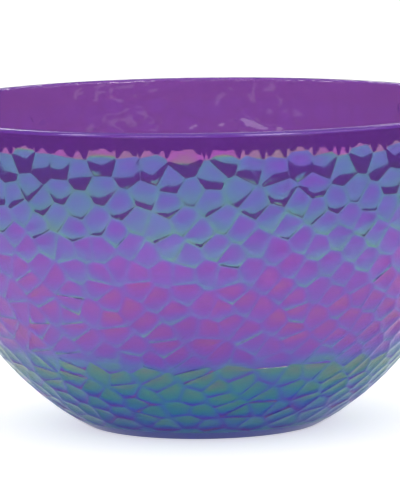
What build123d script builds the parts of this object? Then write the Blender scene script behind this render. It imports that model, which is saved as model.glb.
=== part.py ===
"""Carnival glass bowl: one pressed bowl of violet glass, with a fired lustre coat over its outside.

The bowl stands on its foot ring at Z = 0 and its axis is +Z, with the origin at the middle of
the ring. In section the outside and the inside are each a quarter of an ellipse, centred on the
axis at the height where the lip begins, so the wall is upright there and turns in steadily to
the foot. Everything is turned about Z from a half section on the XZ plane. Lengths are in
millimetres.
"""

from build123d import *

import math
import os

# ---- Sizes of the whole bowl
rim_diameter = 254.0  # across the mouth, over the lustre coat
overall_height = 140.5  # table to the top of the lip

# ---- Glass
wall_thickness = 3.6  # at the lip, which is rounded right over
foot_diameter = 104.0  # where the outside would meet the table if the heel were sharp
floor_thickness = 6.0  # from the table to the inside floor
floor_fillet = 14.0  # inside, where the wall runs into the floor
heel_radius = 1.8  # outside, where the wall runs into the foot

# ---- Underside
foot_ring_width = 7.0  # flat ring that touches the table, up to the sharp heel
recess_depth = 1.2  # hollow inside the ring, which keeps the bowl from rocking
recess_fillet = 0.8  # where the ring steps up into the hollow

# ---- Lustre coat
lustre_thickness = 0.15  # thicker than the real film, which is too thin to be a solid
lustre_hem_height = 4.0  # bare glass left between the table and the coat

# ---- Worked out from the sizes above
glass_radius = rim_diameter / 2 - lustre_thickness
foot_radius = foot_diameter / 2
lip_radius = wall_thickness / 2
lip_centre_height = overall_height - lip_radius
glass_depth = lip_centre_height / math.sqrt(1 - (foot_radius / glass_radius) ** 2)
inner_radius = glass_radius - wall_thickness
inner_depth = glass_depth - wall_thickness
coat_radius = glass_radius + lustre_thickness
coat_depth = glass_depth + lustre_thickness
ring_inner_radius = foot_radius - foot_ring_width


def quarter(radius, depth, height):
    """The ellipse's arc from this height up to the lip's centre, with its long axis upright."""
    turn = math.degrees(math.asin((lip_centre_height - height) / depth))
    centre = (0, lip_centre_height)
    return EllipticalCenterArc(centre, depth, radius, start_angle=90 - turn, arc_size=turn, rotation=-90)

def circles_at(part, height):
    """The round edges that lie at this height, the smallest first."""
    level = part.edges().filter_by(GeomType.CIRCLE).filter_by(lambda e: abs(e.center().Z - height) < 1e-4)
    return level.sort_by(SortBy.RADIUS)


# ---- Glass: wall, lip, floor and foot in one piece
with BuildPart() as glass_bowl:
    with BuildSketch(Plane.XZ):
        with BuildLine():
            outside = quarter(glass_radius, glass_depth, 0)
            CenterArc((glass_radius - lip_radius, lip_centre_height), lip_radius, 0, 180)
            inside = quarter(inner_radius, inner_depth, floor_thickness)
            Polyline(
                inside @ 0,
                (0, floor_thickness),
                (0, recess_depth),
                (ring_inner_radius, recess_depth),
                (ring_inner_radius, 0),
                outside @ 0,
            )
        make_face()
    revolve(axis=Axis.Z)
    fillet(circles_at(glass_bowl, floor_thickness), floor_fillet)
    fillet(circles_at(glass_bowl, 0)[-1], heel_radius)
    fillet(circles_at(glass_bowl, 0)[0], recess_fillet)

# ---- Lustre coat: a skin over the outside, from the bare hem above the foot up to the lip
with BuildPart() as lustre_coat:
    with BuildSketch(Plane.XZ):
        with BuildLine():
            skin = quarter(coat_radius, coat_depth, lustre_hem_height)
            backing = quarter(glass_radius, glass_depth, lustre_hem_height)
            Line(skin @ 0, backing @ 0)
            Line(skin @ 1, backing @ 1)
        make_face()
    revolve(axis=Axis.Z)

os.makedirs("parts", exist_ok=True)
for name, piece in {"glass_bowl": glass_bowl, "lustre_coat": lustre_coat}.items():
    piece.part.label = name
    export_step(piece.part, f"parts/{name}.step")
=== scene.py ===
"""Looks of the carnival glass bowl: hammered violet glass, and the fired lustre coat over its outside.

The outside is pressed with shallow dimples that meet in narrow ridges. Both pieces take their
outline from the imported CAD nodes, and both follow the same dimples, so the coat lies on the glass
all over. Lengths are in metres.
"""

import math
import random

import bpy
import numpy as np
from mathutils import Matrix, Vector, geometry


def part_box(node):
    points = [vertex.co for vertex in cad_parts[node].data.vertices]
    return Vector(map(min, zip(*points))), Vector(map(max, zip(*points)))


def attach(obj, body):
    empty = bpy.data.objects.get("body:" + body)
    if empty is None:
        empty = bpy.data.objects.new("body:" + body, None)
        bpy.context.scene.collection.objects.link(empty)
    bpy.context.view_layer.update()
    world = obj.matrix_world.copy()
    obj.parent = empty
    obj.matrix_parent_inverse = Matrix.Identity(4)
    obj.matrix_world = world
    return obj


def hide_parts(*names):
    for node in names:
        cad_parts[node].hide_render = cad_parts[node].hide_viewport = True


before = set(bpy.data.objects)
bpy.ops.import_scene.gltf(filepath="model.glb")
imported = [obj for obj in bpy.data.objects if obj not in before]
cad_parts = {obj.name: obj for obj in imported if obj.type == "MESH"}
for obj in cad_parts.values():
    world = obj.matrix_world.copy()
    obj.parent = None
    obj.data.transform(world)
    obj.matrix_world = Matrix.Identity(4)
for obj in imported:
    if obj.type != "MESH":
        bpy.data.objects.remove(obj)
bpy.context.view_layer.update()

MM = 0.001

# ---- Inside, floor and foot
FLOOR = 6.0 * MM
FLOOR_FILLET = 14.0 * MM
HEEL_RADIUS = 1.8 * MM
FOOT_RING = 7.0 * MM
RECESS = 1.2 * MM
RECESS_FILLET = 0.8 * MM

# ---- Dimples
COLUMN_PITCH = 9.2 * MM  # across, between neighbouring columns of dimples
ROW_PITCH = 5.65 * MM  # down the wall, between neighbouring columns' dimples
BAND = 6.2 * MM  # plain band above the highest dimples, down from the lip's round
FOOT_BAND = 1.5 * MM  # plain band between the lowest dimples and the coat's lower edge
LEVELLING = {0: 0.25, 1: -0.3}  # moves the two highest rows together, in rows, so both reach the plain band
LOW_PITCH = 0.8  # of the usual pitch, for the lowest row
GUARD_ROWS = 1.6  # how far above and below the rows, in pitches, the outer centres that bound them lie
JITTER = 2.6 * MM  # how far a dimple's centre may stray from its place in the rows
TOP_JITTERS = (1.5, 1.3)  # times the stray in the two highest rows, which are the least even
GUARD_JITTERS = 0.6  # the same for the outer centres
MIDDLE_STRAY = 0.6 * MM  # how far the deepest point may stray from its place in the dimple
RELAXING_STEPS = 1
DIMPLE_DEPTH = (0.42 * MM, 0.80 * MM)
DISH_DROP = 0.6 * MM  # how far below a dimple's centre its deepest point lies
RIDGE_SAG = 0.12 * MM  # how much lower a ridge is halfway between its ends
DISH_RINGS = (0.38, 0.70, 0.90)  # rings of points in each dish, as shares of the way to its edge
SHORTEST_RIDGE = 1.2 * MM
LEVEL_SPREAD = 0.02  # how far a dimple's colour may stray up or down the wall, as a share of the height
SEED = 11

# ---- Lustre coat: its inside, measured out from the glass
COAT_GAP = 0.03 * MM


# ---------------------------------------------------------------- outline
class Ellipse:
    """A quarter ellipse centred on the axis at the height of the lip's centre. turn is 0 at the lip."""

    def __init__(self, radius, depth, lip_z):
        self.radius, self.depth, self.lip_z = radius, depth, lip_z

    def section(self, turn, out=0.0):
        """Radius and height of a point, raised by out along the curve's outward normal."""
        across, down = np.cos(turn) / self.radius, np.sin(turn) / self.depth
        size = np.hypot(across, down)
        r = self.radius * np.cos(turn) + out * across / size
        return r, self.lip_z - self.depth * np.sin(turn) - out * down / size

    def turn_at(self, z):
        return math.asin((self.lip_z - z) / self.depth)

    def ball_on_floor(self, ball, floor):
        """The turn where a ball inside the curve touches it while it rests on the floor."""
        low, high = 0.0, math.pi / 2
        for _ in range(50):
            turn = (low + high) / 2
            if self.section(turn, -ball)[1] > floor + ball:
                low = turn
            else:
                high = turn
        return low


def read_outline():
    """The glass's outer ellipse and the sizes that go with it, from the two CAD nodes."""
    glass_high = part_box("glass_bowl")[1]
    coat_low, coat_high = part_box("lustre_coat")
    points = np.array([v.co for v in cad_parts["lustre_coat"].data.vertices])
    hem = points[points[:, 2] < coat_low.z + 0.01 * MM]
    hem_radius = np.hypot(hem[:, 0], hem[:, 1]).max()
    coat = coat_high.x - glass_high.x
    drop = coat_high.z - coat_low.z
    depth = drop / math.sqrt(1 - (hem_radius / coat_high.x) ** 2) - coat
    return Ellipse(glass_high.x, depth, coat_high.z), glass_high.z, coat, coat_low.z


outside, height, coat_thickness, hem_z = read_outline()
lip_radius = height - outside.lip_z
wall = 2 * lip_radius
inside = Ellipse(outside.radius - wall, outside.depth - wall, outside.lip_z)


class Spread:
    """The outside spread on a flat plane without changing its angles. s is measured down the wall."""

    def __init__(self, curve):
        self.turn = np.linspace(0, curve.turn_at(0), 4001)
        r, z = curve.section(self.turn)
        steps = np.hypot(np.diff(r), np.diff(z))
        self.s = np.concatenate([[0], np.cumsum(steps)])
        self.shrink = np.concatenate([[0], np.cumsum(steps * 2 / (r[1:] + r[:-1]))])
        self.r = r

    def turn_at(self, s):
        return np.interp(s, self.s, self.turn)

    def radius_at(self, s):
        return np.interp(s, self.s, self.r)

    def length_at(self, turn):
        return float(np.interp(turn, self.turn, self.s))

    def to_plane(self, s, azimuth):
        beyond = min(s, 0) / self.r[0] + max(s - self.s[-1], 0) / self.r[-1]
        shrink = np.interp(s, self.s, self.shrink) + beyond
        return Vector((math.cos(azimuth), math.sin(azimuth))) * math.exp(-shrink)

    def from_plane(self, p):
        return float(np.interp(-math.log(p.length), self.shrink, self.s)), math.atan2(p.y, p.x)


spread = Spread(outside)


# ---------------------------------------------------------------- dimples
def turned(angle):
    """The same angle between -180 and 180 degrees."""
    return (angle + math.pi) % (2 * math.pi) - math.pi


def row_of_sites(s, half):
    """Places round one row, two columns apart, moved on by half a step in every other row."""
    count = round(2 * math.pi * spread.radius_at(max(s, 0)) / (2 * COLUMN_PITCH))
    return [(s, 2 * math.pi * (i + half / 2) / count) for i in range(count)]


def scatter_sites(draw):
    """The dimples' centres, and rows of outer ones beyond both ends that only bound their neighbours."""
    first = BAND + ROW_PITCH
    last = spread.length_at(outside.turn_at(hem_z)) - FOOT_BAND - ROW_PITCH * LOW_PITCH
    rows = round((last - first) / ROW_PITCH)
    pitch = (last - first) / rows
    strays = {0: JITTER * TOP_JITTERS[0], 1: JITTER * TOP_JITTERS[1], rows: JITTER / 2}
    sites = []
    for row in range(rows + 1):
        for s, azimuth in row_of_sites(first + (row + LEVELLING.get(row, 0)) * pitch, row % 2):
            stray = strays.get(row, JITTER)
            s += draw.uniform(-stray, stray)
            azimuth += draw.uniform(-stray, stray) / spread.radius_at(s)
            sites.append((s, azimuth))
    above = first - GUARD_ROWS * ROW_PITCH
    below = last + GUARD_ROWS * pitch
    guards = [
        (s + draw.uniform(-GUARD_JITTERS, GUARD_JITTERS) * JITTER, azimuth)
        for row, s in ((0, above), (1, above), (0, below), (1, below))
        for s, azimuth in row_of_sites(s, row)
    ]
    return sites, guards


def corner_between(a, b, c):
    """The centre of the circle through three points of the plane."""
    d = 2 * ((b - a).cross(c - a))
    bb, cc = (b - a).length_squared, (c - a).length_squared
    ab, ac = b - a, c - a
    return a + Vector((ac.y * bb - ab.y * cc, ab.x * cc - ac.x * bb)) / d


def cells_round(sites, guards):
    """Each site's corners in order, as numbers of corners, and every corner's place."""
    flat = [spread.to_plane(s, azimuth) for s, azimuth in sites + guards]
    points, _, triangles, origin, _, _ = geometry.delaunay_2d_cdt(flat, [], [], 0, 1e-9)
    name = [o[0] for o in origin]
    corners = []
    fans = [[] for _ in flat]
    for number, (a, b, c) in enumerate(triangles):
        corners.append(spread.from_plane(corner_between(points[a], points[b], points[c])))
        for v in (a, b, c):
            middle = (points[a] + points[b] + points[c]) / 3 - points[v]
            fans[name[v]].append((math.atan2(middle.y, middle.x), number))
    return [[number for _, number in sorted(fan)] for fan in fans[: len(sites)]], corners


def chart(site, place):
    """A place near a site as (across, down) in metres along the surface."""
    return turned(place[1] - site[1]) * spread.radius_at(site[0]), place[0] - site[0]


def centre_of(site, outline):
    """The site moved to the middle of its own cell."""
    area = across = down = 0.0
    local = [chart(site, p) for p in outline]
    for (x0, y0), (x1, y1) in zip(local, local[1:] + local[:1]):
        piece = x0 * y1 - x1 * y0
        area += piece / 2
        across += (x0 + x1) * piece / 6
        down += (y0 + y1) * piece / 6
    return site[0] + down / area, site[1] + across / area / spread.radius_at(site[0])


def distance(p, q):
    return math.hypot(*chart(p, q))


def merged(cells, corners):
    """The cells with corners that nearly meet joined into one, so that no ridge is a mere speck."""
    joined = list(range(len(corners)))

    def root(n):
        while joined[n] != n:
            n = joined[n]
        return n

    for cell in cells:
        for a, b in zip(cell, cell[1:] + cell[:1]):
            a, b = root(a), root(b)
            if a != b and distance(corners[a], corners[b]) < SHORTEST_RIDGE:
                s = (corners[a][0] + corners[b][0]) / 2
                corners[a] = (s, corners[a][1] + turned(corners[b][1] - corners[a][1]) / 2)
                joined[b] = a
    tidy = []
    for cell in cells:
        names = [root(n) for n in cell]
        tidy.append([n for i, n in enumerate(names) if n != names[i - 1]])
    return tidy


class Dimples:
    """Every point and face of the dimpled part of the wall, on the surface: s, azimuth and depth."""

    def __init__(self):
        draw = random.Random(SEED)
        sites, guards = scatter_sites(draw)
        for _ in range(RELAXING_STEPS):
            cells, corners = cells_round(sites, guards)
            sites = [centre_of(site, [corners[n] for n in cell]) for site, cell in zip(sites, cells)]
        cells, corners = cells_round(sites, guards)
        cells = merged(cells, corners)
        self.points, self.faces = [], []
        self.shares, self.levels = [], []
        self.corner, self.middle = {}, {}
        borders = {}
        for site, cell in zip(sites, cells):
            edge = self.edge_of(cell, corners)
            for a, b in zip(edge, edge[1:] + edge[:1]):
                if (b, a) in borders:
                    del borders[b, a]
                else:
                    borders[a, b] = True
            self.dish(site, edge, draw)
        self.loops = self.chained(dict(borders.keys()))

    def add(self, s, azimuth, depth, share=1.0):
        self.points.append((s, azimuth, depth))
        self.shares.append(share)
        return len(self.points) - 1

    def edge_of(self, cell, corners):
        """The points round a cell: its corners, and one halfway along each ridge."""
        edge = []
        for a, b in zip(cell, cell[1:] + cell[:1]):
            if a not in self.corner:
                self.corner[a] = self.add(*corners[a], 0.0)
            edge.append(self.corner[a])
            key = (min(a, b), max(a, b))
            if key not in self.middle:
                (s0, az0), (s1, az1) = corners[a], corners[b]
                self.middle[key] = self.add((s0 + s1) / 2, az0 + turned(az1 - az0) / 2, RIDGE_SAG)
            edge.append(self.middle[key])
        return edge

    def dish(self, site, edge, draw):
        """One dimple: a middle, rounder rings near it, and the ridge at its edge."""
        lower = site[0] + DISH_DROP + draw.uniform(-MIDDLE_STRAY, MIDDLE_STRAY)
        middle = (lower, site[1] + draw.uniform(-MIDDLE_STRAY, MIDDLE_STRAY) / spread.radius_at(site[0]))
        depth = draw.uniform(*DIMPLE_DEPTH)
        rays = [chart(middle, self.points[n]) for n in edge]
        lengths = [math.hypot(*ray) for ray in rays]
        even = sum(lengths) / len(lengths)
        rings = []
        for share in DISH_RINGS:
            ring = []
            for (x, y), length, n in zip(rays, lengths, edge):
                reach = share * (share + (1 - share) * even / length)
                sunk = depth * (1 - share ** 2) + self.points[n][2] * share ** 2
                across = x * reach / spread.radius_at(middle[0])
                ring.append(self.add(middle[0] + y * reach, middle[1] + across, sunk, share))
            rings.append(ring)
        rings.append(edge)
        hub = self.add(*middle, depth, 0.0)
        for a, b in zip(rings[0], rings[0][1:] + rings[0][:1]):
            self.faces.append((hub, a, b))
        for small, large in zip(rings, rings[1:]):
            for i in range(len(edge)):
                j = (i + 1) % len(edge)
                self.faces.append((small[i], large[i], large[j], small[j]))
        level = outside.section(spread.turn_at(site[0]))[1] / height
        level += draw.uniform(-LEVEL_SPREAD, LEVEL_SPREAD)
        self.levels.extend([level] * (len(self.faces) - len(self.levels)))

    def chained(self, following):
        """The open edges joined end to end into the upper and the lower loop."""
        loops = []
        while following:
            start = next(iter(following))
            loop, n = [], start
            while n in following:
                loop.append(n)
                n = following.pop(n)
            loops.append(loop)
        return sorted(loops, key=lambda loop: self.points[loop[0]][0])


dimples = Dimples()


# ---------------------------------------------------------------- meshes
RIM_POINTS = 384
FOOT_POINTS = 192
RIDGE_SIDE = 0.5 * MM  # plain surface kept level beside the outermost ridges
INNER_RINGS = ((0.5, 96), (0.25, 48), (0.1, 24))  # shares of a flat disc's radius, and points in each
SHARP = math.radians(50)  # edges that turn more than this stay sharp
DISH = "dish"  # a mesh attribute: 0 in the middle of a dimple, 1 on its ridge
LEVEL = "level"  # a mesh attribute: the height that sets the colour of the whole dimple, as a share


class Shell:
    """Points and faces of one piece, built from loops of points that go round the axis."""

    def __init__(self):
        self.points, self.faces = [], []
        self.shares, self.levels = {}, {}

    def loop(self, places):
        """New points from radius, height and azimuth."""
        first = len(self.points)
        self.points.extend((r * math.cos(a), r * math.sin(a), z) for r, z, a in places)
        return list(range(first, len(self.points)))

    def ring(self, section, count):
        return self.loop([(*section, 2 * math.pi * i / count) for i in range(count)])

    def azimuth(self, n):
        return math.atan2(self.points[n][1], self.points[n][0]) % (2 * math.pi)

    def ordered(self, loop):
        """The loop going round by growing azimuth, from the first point past azimuth 0."""
        span = sum(turned(self.azimuth(b) - self.azimuth(a)) for a, b in zip(loop, loop[1:]))
        loop = loop if span > 0 else loop[::-1]
        start = min(range(len(loop)), key=lambda k: self.azimuth(loop[k]))
        return loop[start:] + loop[:start]

    def sew(self, one, other):
        """Faces between two loops. They look away from the axis where the first loop is the higher."""
        one, other = self.ordered(one), self.ordered(other)
        full = 2 * math.pi
        ways = [[self.azimuth(n) for n in loop] + [full + self.azimuth(loop[0])] for loop in (one, other)]
        i = j = 0
        while i < len(one) or j < len(other):
            a, b = one[i % len(one)], other[j % len(other)]
            step = i < len(one) and (j == len(other) or sum(ways[0][i:i + 2]) <= sum(ways[1][j:j + 2]))
            if step:
                i += 1
                self.faces.append((a, b, one[i % len(one)]))
            else:
                j += 1
                self.faces.append((a, b, other[j % len(other)]))

    def down(self, loop, sections, count):
        """Rings one after another, going on down the outside and in under the foot."""
        for section in sections:
            ring = self.ring(section, count)
            self.sew(loop, ring)
            loop = ring
        return loop

    def over(self, loop, sections, count):
        """Rings one after another, going up over the lip and down the inside."""
        for section in sections:
            ring = self.ring(section, count)
            self.sew(ring, loop)
            loop = ring
        return loop

    def beside(self, loop, shift, out):
        """A copy of one of the dimples' loops on the plain surface, moved down by shift."""
        places = []
        for n in loop:
            s, azimuth, _ = dimples.points[n]
            places.append((*outside.section(spread.turn_at(s + shift), out), azimuth))
        return self.loop(places)

    def side(self, out):
        """The whole outside from the lip's round to the coat's lower edge, raised by out from the glass."""
        places = [(*outside.section(spread.turn_at(s), out - depth), a) for s, a, depth in dimples.points]
        first = self.loop(places)[0]
        self.shares.update((first + n, share) for n, share in enumerate(dimples.shares))
        self.levels.update((len(self.faces) + n, level) for n, level in enumerate(dimples.levels))
        self.faces.extend(tuple(first + n for n in reversed(face)) for face in dimples.faces)
        high, low = dimples.loops
        above, below = self.beside(high, -RIDGE_SIDE, out), self.beside(low, RIDGE_SIDE, out)
        self.sew(above, [first + n for n in high])
        self.sew([first + n for n in low], below)
        plain = min(dimples.points[n][0] for n in high) - RIDGE_SIDE
        band = [outside.section(spread.turn_at(plain * share), out) for share in (0.8, 0.5, 0.2, 0.0)]
        top = self.over(above, band, RIM_POINTS)
        return top, self.down(below, [outside.section(outside.turn_at(hem_z), out)], FOOT_POINTS)

    def piece(self, name, slot, material):
        """The finished piece, which stands for the CAD node of the same name."""
        mesh = bpy.data.meshes.new(name + "_mesh")
        mesh.from_pydata(self.points, [], self.faces)
        shares = [self.shares.get(n, 0.0) for n in range(len(self.points))]
        mesh.attributes.new(DISH, "FLOAT", "POINT").data.foreach_set("value", shares)
        levels = [self.levels.get(n, self.points[face[0]][2] / height) for n, face in enumerate(self.faces)]
        mesh.attributes.new(LEVEL, "FLOAT", "FACE").data.foreach_set("value", levels)
        mesh.validate()
        mesh.shade_smooth()
        mesh.set_sharp_from_angle(angle=SHARP)
        mesh.materials.append(material)
        made = bpy.data.objects.new("pressed_" + name, mesh)
        bpy.context.scene.collection.objects.link(made)
        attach(made, "root")
        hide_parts(name)
        return made


def arc(centre, radius, start, end, steps):
    """Radius and height at equal steps along an arc, by angles in degrees, its ends included."""
    angles = [math.radians(start + (end - start) * i / steps) for i in range(steps + 1)]
    return [(centre[0] + radius * math.cos(a), centre[1] + radius * math.sin(a)) for a in angles]


def fillet(curve, ball, floor, steps):
    """The turn where a fillet leaves the curve, and its points from there to the floor."""
    turn = curve.ball_on_floor(ball, floor)
    centre = curve.section(turn, -ball)
    touch = curve.section(turn)
    start = math.degrees(math.atan2(touch[1] - centre[1], touch[0] - centre[0]))
    return turn, arc(centre, ball, start, -90, steps)


def make_glass(material):
    shell = Shell()
    top, hem = shell.side(0.0)
    heel_turn, heel = fillet(outside, HEEL_RADIUS, 0.0, 5)
    hem_turn = outside.turn_at(hem_z)
    shin = [outside.section(hem_turn + (heel_turn - hem_turn) * share) for share in (0.35, 0.7)]
    ring_inside = outside.section(outside.turn_at(0.0))[0] - FOOT_RING
    step = arc((ring_inside + RECESS_FILLET, RECESS_FILLET), RECESS_FILLET, -90, -180, 4)
    under = shell.down(hem, shin + heel + step + [(ring_inside, RECESS)], FOOT_POINTS)
    for r, count in ((0.8, FOOT_POINTS), *INNER_RINGS):
        under = shell.down(under, [(ring_inside * r, RECESS)], count)
    hub = shell.loop([(0.0, RECESS, 0.0)])[0]
    under = shell.ordered(under)
    shell.faces.extend((a, hub, b) for a, b in zip(under, under[1:] + under[:1]))

    lip = arc((outside.radius - lip_radius, outside.lip_z), lip_radius, 0, 180, 12)[1:]
    floor_turn, floor_arc = fillet(inside, FLOOR_FILLET, FLOOR, 8)
    wall_rows = [inside.section(floor_turn * i / 30) for i in range(1, 31)]
    inner = shell.over(top, lip, RIM_POINTS)
    inner = shell.over(inner, wall_rows, RIM_POINTS)
    inner = shell.over(inner, floor_arc[1:], RIM_POINTS)
    floor_radius = floor_arc[-1][0]
    for r, count in ((0.75, FOOT_POINTS), *INNER_RINGS):
        inner = shell.over(inner, [(floor_radius * r, FLOOR)], count)
    hub = shell.loop([(0.0, FLOOR, 0.0)])[0]
    inner = shell.ordered(inner)
    shell.faces.extend((a, b, hub) for a, b in zip(inner, inner[1:] + inner[:1]))
    return shell.piece("glass_bowl", "violet_glass", material)


def make_coat(material):
    shell = Shell()
    top, hem = shell.side(coat_thickness)
    outer = len(shell.faces)
    back_top, back_hem = shell.side(COAT_GAP)
    shell.faces[outer:] = [tuple(reversed(face)) for face in shell.faces[outer:]]
    shell.sew(back_top, top)
    shell.sew(hem, back_hem)
    return shell.piece("lustre_coat", "lustre", material)


# ---------------------------------------------------------------- materials
class Nodes:
    """Short ways to write a material's nodes. A number or another node's output may be given to each."""

    def __init__(self, tree):
        self.tree = tree
        tree.nodes.clear()

    def new(self, kind, **values):
        node = self.tree.nodes.new(kind)
        for name, value in values.items():
            setattr(node, name, value)
        return node

    def give(self, socket, value):
        if isinstance(value, bpy.types.NodeSocket):
            self.tree.links.new(value, socket)
        else:
            socket.default_value = value

    def math(self, operation, *values, clamp=False):
        node = self.new("ShaderNodeMath", operation=operation, use_clamp=clamp)
        for socket, value in zip(node.inputs, values):
            self.give(socket, value)
        return node.outputs[0]

    def fade(self, value, start, end):
        """0 up to start and 1 from end on, or the other way down, with an even change between."""
        node = self.new("ShaderNodeMapRange", interpolation_type="SMOOTHSTEP")
        self.give(node.inputs["Value"], value)
        node.inputs["From Min"].default_value = start
        node.inputs["From Max"].default_value = end
        return node.outputs[0]

    def attribute(self, name):
        return self.new("ShaderNodeAttribute", attribute_name=name).outputs["Fac"]

    def ramp(self, factor, stops):
        """A smooth curve through (place, value) stops, places growing from 0 to 1."""
        node = self.new("ShaderNodeFloatCurve")
        curve = node.mapping.curves[0]
        for point, stop in zip(list(curve.points), (stops[0], stops[-1])):
            point.location = stop
        for stop in stops[1:-1]:
            curve.points.new(*stop)
        node.mapping.update()
        self.give(node.inputs["Value"], factor)
        return node.outputs[0]


# Painted shade: the glass is darker and bluer towards the foot, standing in for the shade under the bowl,
# together with the deeper colour of the thicker glass there.
FOOT_SHADE_TINT = (0.03, 0.08, 0.95, 1)  # of the foot, set to how it looks from the front
CLEAR_TINT = (0.38, 0.13, 0.95, 1)  # of the wall
FOOT_SHADE_SPAN = (15 * MM, 50 * MM)  # heights between which the one changes to the other
STREAKS = 12 * MM  # how much that change moves up and down from place to place
ABSORPTION = (0.85, 0.74, 0.125, 1)  # the colour that the body of the glass lets through
ABSORPTION_DENSITY = 400.0
RIPPLE = 1.6 * MM  # how far a faint swell of the inside falls, one cell out from its middle
RIPPLE_CELLS = 150.0  # to the metre


def glass_material():
    material = bpy.data.materials.new("violet_glass")
    material.use_nodes = True
    nodes = Nodes(material.node_tree)
    here = nodes.new("ShaderNodeTexCoord")
    place = nodes.new("ShaderNodeSeparateXYZ")
    nodes.give(place.inputs[0], here.outputs["Object"])
    streaks = nodes.new("ShaderNodeTexNoise")
    nodes.give(streaks.inputs["Vector"], here.outputs["Object"])
    streaks.inputs["Scale"].default_value = 60.0
    streaks.inputs["Detail"].default_value = 3.0
    level = nodes.math("SUBTRACT", place.outputs[2], STREAKS / 2)
    depth = nodes.math("MULTIPLY_ADD", streaks.outputs[0], STREAKS, level)
    # painted shade under the bowl: the tint darkens and turns bluer towards the foot
    tint = nodes.new("ShaderNodeMix", data_type="RGBA")
    nodes.give(tint.inputs["Factor"], nodes.fade(depth, *FOOT_SHADE_SPAN))
    tint.inputs["A"].default_value = FOOT_SHADE_TINT
    tint.inputs["B"].default_value = CLEAR_TINT
    surface = nodes.new("ShaderNodeBsdfPrincipled")
    nodes.give(surface.inputs["Base Color"], tint.outputs["Result"])
    surface.inputs["Roughness"].default_value = 0.02
    surface.inputs["IOR"].default_value = 1.5
    surface.inputs["Transmission Weight"].default_value = 0.70
    facing = nodes.new("ShaderNodeSeparateXYZ")
    nodes.give(facing.inputs[0], here.outputs["Normal"])
    outwards = nodes.math("MULTIPLY_ADD", place.outputs[0], facing.outputs[0],
                          nodes.math("MULTIPLY", place.outputs[1], facing.outputs[1]))
    ripples = nodes.new("ShaderNodeTexVoronoi", feature="SMOOTH_F1")
    nodes.give(ripples.inputs["Vector"], here.outputs["Object"])
    ripples.inputs["Scale"].default_value = RIPPLE_CELLS
    swell = nodes.math("MULTIPLY", nodes.math("POWER", ripples.outputs["Distance"], 2.0), -1.0)
    # only the inside has swells: outwards is below 0 where the surface faces the axis
    bump = nodes.new("ShaderNodeBump")
    nodes.give(bump.inputs["Strength"], nodes.fade(outwards, 0.0, -0.02))
    bump.inputs["Distance"].default_value = RIPPLE
    nodes.give(bump.inputs["Height"], swell)
    nodes.give(surface.inputs["Normal"], bump.outputs[0])
    body = nodes.new("ShaderNodeVolumeAbsorption")
    body.inputs["Color"].default_value = ABSORPTION
    body.inputs["Density"].default_value = ABSORPTION_DENSITY
    output = nodes.new("ShaderNodeOutputMaterial")
    nodes.give(output.inputs["Surface"], surface.outputs[0])
    nodes.give(output.inputs["Volume"], body.outputs[0])
    return material


# Optical path in the film, in nanometres, at shares of the bowl's height. Set to the colours wanted
FILM_PATH = (
    (0.0, 1262), (0.10, 1262), (0.16, 1285), (0.225, 1330), (0.26, 1300), (0.29, 1125), (0.35, 1088),
    (0.52, 1090), (0.60, 1120), (0.70, 1180), (0.80, 1205), (0.916, 1225), (0.924, 1515), (1.0, 1540),
)
# How much longer the path is where the surface leans back, per unit of lean, at shares of the height
LEAN_PATH = ((0.0, -800), (0.255, -800), (0.295, 500), (0.70, 450), (0.88, 420), (1.0, 150))
# What every colour gives back besides the film's own, at shares of the height
PALE = ((0.0, 0.0), (0.22, 0.02), (0.32, 0.17), (0.6, 0.17), (0.8, 0.02), (1.0, 0.04))
PATH_RANGE = (600, 1600)  # the least and the most that FILM_PATH may hold
LEAN_RANGE = (-1000, 600)  # the same for LEAN_PATH
LEVEL_SHARE = 0.55  # how much of the colour's height is the whole dimple's, and not the place's own
LEAST_LEAN = -0.08  # anything leaning further forward takes the same colour
EDGE_LEAN = 0.09  # a ridge counts as leaning back by this much more than it does
EDGE_FADE = (0.62, 0.95)  # where in a dimple, from its middle to its ridge, that begins and is complete
# Partly painted reflection: the blotches are a random drift of the film's thickness, with the seed set so
# that pink patches stand in for lamp reflections on the front.
BLOTCH_PATH = 230.0  # how much the path drifts from place to place, in nanometres
BLOTCH_SEED = 3.0
FILM_STRENGTH = 0.80
COAT_COVER = 0.14  # the rest of the coat is clear
WAVELENGTHS = (625, 535, 462)  # of red, green and blue, in nanometres


def by_height(nodes, share, stops, span):
    """A value in nanometres that follows the height, from stops of (share of the height, value)."""
    low, high = span
    curve = nodes.ramp(share, [(at, (value - low) / (high - low)) for at, value in stops])
    return nodes.math("MULTIPLY_ADD", curve, float(high - low), float(low))


def lean_of(nodes, place, facing):
    """How far the surface leans back from the plain wall's own slope, alike on the coat's two sides."""
    outwards = nodes.math("MULTIPLY_ADD", place[0], facing[0], nodes.math("MULTIPLY", place[1], facing[1]))
    slope = nodes.math("MULTIPLY", facing[2], nodes.math("SIGN", outwards))
    square = nodes.math("MULTIPLY_ADD", place[0], place[0], nodes.math("MULTIPLY", place[1], place[1]))
    across = nodes.math("DIVIDE", nodes.math("POWER", square, 0.5), outside.radius ** 2)
    along = nodes.math("DIVIDE", nodes.math("SUBTRACT", place[2], outside.lip_z), outside.depth ** 2)
    square = nodes.math("MULTIPLY_ADD", across, across, nodes.math("MULTIPLY", along, along))
    size = nodes.math("POWER", square, 0.5)
    return nodes.math("SUBTRACT", slope, nodes.math("DIVIDE", along, size))


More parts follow.
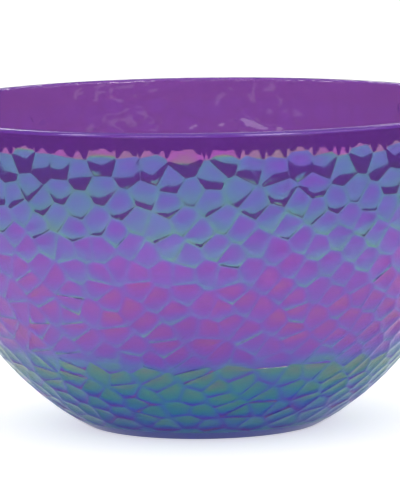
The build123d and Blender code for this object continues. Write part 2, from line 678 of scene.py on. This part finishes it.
def lustre_material():
    material = bpy.data.materials.new("lustre")
    material.use_nodes = True
    nodes = Nodes(material.node_tree)
    here = nodes.new("ShaderNodeTexCoord")
    place = nodes.new("ShaderNodeSeparateXYZ")
    nodes.give(place.inputs[0], here.outputs["Object"])
    facing = nodes.new("ShaderNodeSeparateXYZ")
    nodes.give(facing.inputs[0], here.outputs["Normal"])
    lean = lean_of(nodes, place.outputs, facing.outputs)
    share = nodes.math("MULTIPLY", nodes.attribute(LEVEL), LEVEL_SHARE)
    share = nodes.math("MULTIPLY_ADD", place.outputs[2], (1 - LEVEL_SHARE) / height, share)
    film = by_height(nodes, share, FILM_PATH, PATH_RANGE)
    lean = nodes.math("MAXIMUM", lean, LEAST_LEAN)
    lean = nodes.math("MULTIPLY_ADD", nodes.fade(nodes.attribute(DISH), *EDGE_FADE), EDGE_LEAN, lean)
    film = nodes.math("MULTIPLY_ADD", lean, by_height(nodes, share, LEAN_PATH, LEAN_RANGE), film)
    # random drift of the film, whose pink patches on the front also stand in for lamp reflections
    blotches = nodes.new("ShaderNodeTexNoise", noise_dimensions="4D")
    blotches.inputs["W"].default_value = BLOTCH_SEED
    nodes.give(blotches.inputs["Vector"], here.outputs["Object"])
    blotches.inputs["Scale"].default_value = 45.0
    blotches.inputs["Detail"].default_value = 2.0
    film = nodes.math("MULTIPLY_ADD", nodes.math("SUBTRACT", blotches.outputs[0], 0.5), BLOTCH_PATH, film)
    pale = nodes.ramp(share, PALE)
    colour = nodes.new("ShaderNodeCombineColor")
    for socket, wavelength in zip(colour.inputs, WAVELENGTHS):
        wave = nodes.math("SINE", nodes.math("MULTIPLY", film, math.pi / wavelength))
        nodes.give(socket, nodes.math("MULTIPLY_ADD", nodes.math("POWER", wave, 2.0), FILM_STRENGTH, pale))
    surface = nodes.new("ShaderNodeBsdfPrincipled")
    nodes.give(surface.inputs["Base Color"], colour.outputs[0])
    surface.inputs["Metallic"].default_value = 1.0
    surface.inputs["Roughness"].default_value = 0.10
    surface.inputs["Alpha"].default_value = COAT_COVER
    output = nodes.new("ShaderNodeOutputMaterial")
    nodes.give(output.inputs["Surface"], surface.outputs[0])
    return material


# ---------------------------------------------------------------- studio
TABLE_RADIUS = 0.62
TABLE_POINTS = 128
TABLE_GAP = 0.2 * MM  # between the table and the foot
TABLE_GLOW = 0.30  # of the lit table top, except where it is seen through the glass
TABLE_SIGHT = 0.25  # the same again where it is seen directly


def make_floor():
    """A pale round table top under the bowl."""
    mesh = bpy.data.meshes.new("table_mesh")
    turns = [2 * math.pi * i / TABLE_POINTS for i in range(TABLE_POINTS)]
    ring = [(TABLE_RADIUS * math.cos(turn), TABLE_RADIUS * math.sin(turn), 0) for turn in turns]
    mesh.from_pydata(ring, [], [tuple(range(TABLE_POINTS))])
    material = bpy.data.materials.new("pale_table")
    material.use_nodes = True
    nodes = Nodes(material.node_tree)
    surface = nodes.new("ShaderNodeBsdfPrincipled")
    surface.inputs["Base Color"].default_value = (0.75, 0.75, 0.75, 1)
    surface.inputs["Roughness"].default_value = 0.9
    surface.inputs["Specular IOR Level"].default_value = 0.0
    surface.inputs["Emission Color"].default_value = (1, 1, 1, 1)
    ray = nodes.new("ShaderNodeLightPath")
    through = nodes.math("MINIMUM", ray.outputs["Transmission Depth"], 1.0)
    glow = nodes.math("MULTIPLY_ADD", through, -TABLE_GLOW, TABLE_GLOW)
    glow = nodes.math("MULTIPLY_ADD", ray.outputs["Is Camera Ray"], TABLE_SIGHT, glow)
    nodes.give(surface.inputs["Emission Strength"], glow)
    output = nodes.new("ShaderNodeOutputMaterial")
    nodes.give(output.inputs["Surface"], surface.outputs[0])
    mesh.materials.append(material)
    table = bpy.data.objects.new("table", mesh)
    table.location.z = -TABLE_GAP
    bpy.context.scene.collection.objects.link(table)


BRIGHTNESS_BEHIND = 1.15  # of the white that is seen through and behind the bowl
ROOM_LIGHT = 0.04
CEILING_LIGHT = 0.8
CEILING = (0.75, 0.95)  # sines of the elevations between which the ceiling's light comes in
LAMP_SIDE = 7  # degrees over which a lamp fades out sideways
LAMP_ENDS = (0.08, 0.12)  # and below and above it, in sines of the elevation
# Azimuth and half width in degrees, sines of the lowest and highest elevation, and strength
LAMPS = (
    (-26, 6, 0.0, 0.12, 1.1),
    (36, 6, 0.0, 0.12, 1.1),
    (-57, 4, 0.50, 0.75, 9.0),
    (32, 9, 0.50, 0.75, 9.0),
    (-15, 14, 0.45, 0.60, 3.0),
    (65, 14, 0.45, 0.60, 3.0),
)


def make_world():
    """White all round for what is seen through or behind the bowl, and a dim room with lamps to reflect."""
    world = bpy.data.worlds.new("studio")
    bpy.context.scene.world = world
    world.use_nodes = True
    nodes = Nodes(world.node_tree)
    white = nodes.new("ShaderNodeBackground")
    white.inputs["Color"].default_value = (1, 1, 1, 1)
    white.inputs["Strength"].default_value = BRIGHTNESS_BEHIND
    room = nodes.new("ShaderNodeBackground")
    way = nodes.new("ShaderNodeTexCoord")
    parts = nodes.new("ShaderNodeSeparateXYZ")
    nodes.give(parts.inputs[0], way.outputs["Generated"])
    x, y, z = parts.outputs
    # the same in front and behind, from -90 to 90 degrees either side of the line between them
    azimuth = nodes.math("ARCTANGENT", nodes.math("DIVIDE", x, nodes.math("MULTIPLY", y, -1.0)))
    level = nodes.math("MULTIPLY_ADD", nodes.fade(z, *CEILING), CEILING_LIGHT, ROOM_LIGHT)
    for middle, half, low, high, strength in LAMPS:
        aside = nodes.math("ABSOLUTE", nodes.math("SUBTRACT", azimuth, math.radians(middle)))
        lamp = nodes.fade(aside, math.radians(half + LAMP_SIDE), math.radians(half))
        lamp = nodes.math("MULTIPLY", lamp, nodes.fade(z, low - LAMP_ENDS[0], low))
        lamp = nodes.math("MULTIPLY", lamp, nodes.fade(z, high + LAMP_ENDS[1], high))
        level = nodes.math("MULTIPLY_ADD", lamp, strength, level)
    nodes.give(room.inputs["Strength"], level)
    ray = nodes.new("ShaderNodeLightPath")
    mix = nodes.new("ShaderNodeMixShader")
    nodes.give(mix.inputs[0], nodes.math("MINIMUM", ray.outputs["Glossy Depth"], 1.0))
    nodes.give(mix.inputs[1], white.outputs[0])
    nodes.give(mix.inputs[2], room.outputs[0])
    output = nodes.new("ShaderNodeOutputWorld")
    nodes.give(output.inputs[0], mix.outputs[0])


def make_camera():
    camera = bpy.data.objects.new("camera", bpy.data.cameras.new("camera"))
    camera.data.sensor_width = 36
    camera.data.lens = 329.3
    camera.location = (-0.001, -2.0, 0.3359)
    pitch, roll = math.radians(7.414), 0.013
    forward = Vector((0, math.cos(pitch), -math.sin(pitch)))
    camera.rotation_mode = "QUATERNION"
    rolled = Matrix.Rotation(-roll, 3, "Z").to_quaternion()
    camera.rotation_quaternion = forward.to_track_quat("-Z", "Y") @ rolled
    bpy.context.scene.collection.objects.link(camera)
    bpy.context.scene.camera = camera


make_glass(glass_material())
make_coat(lustre_material())
make_floor()
make_world()
make_camera()
bpy.context.scene.view_settings.view_transform = "Standard"
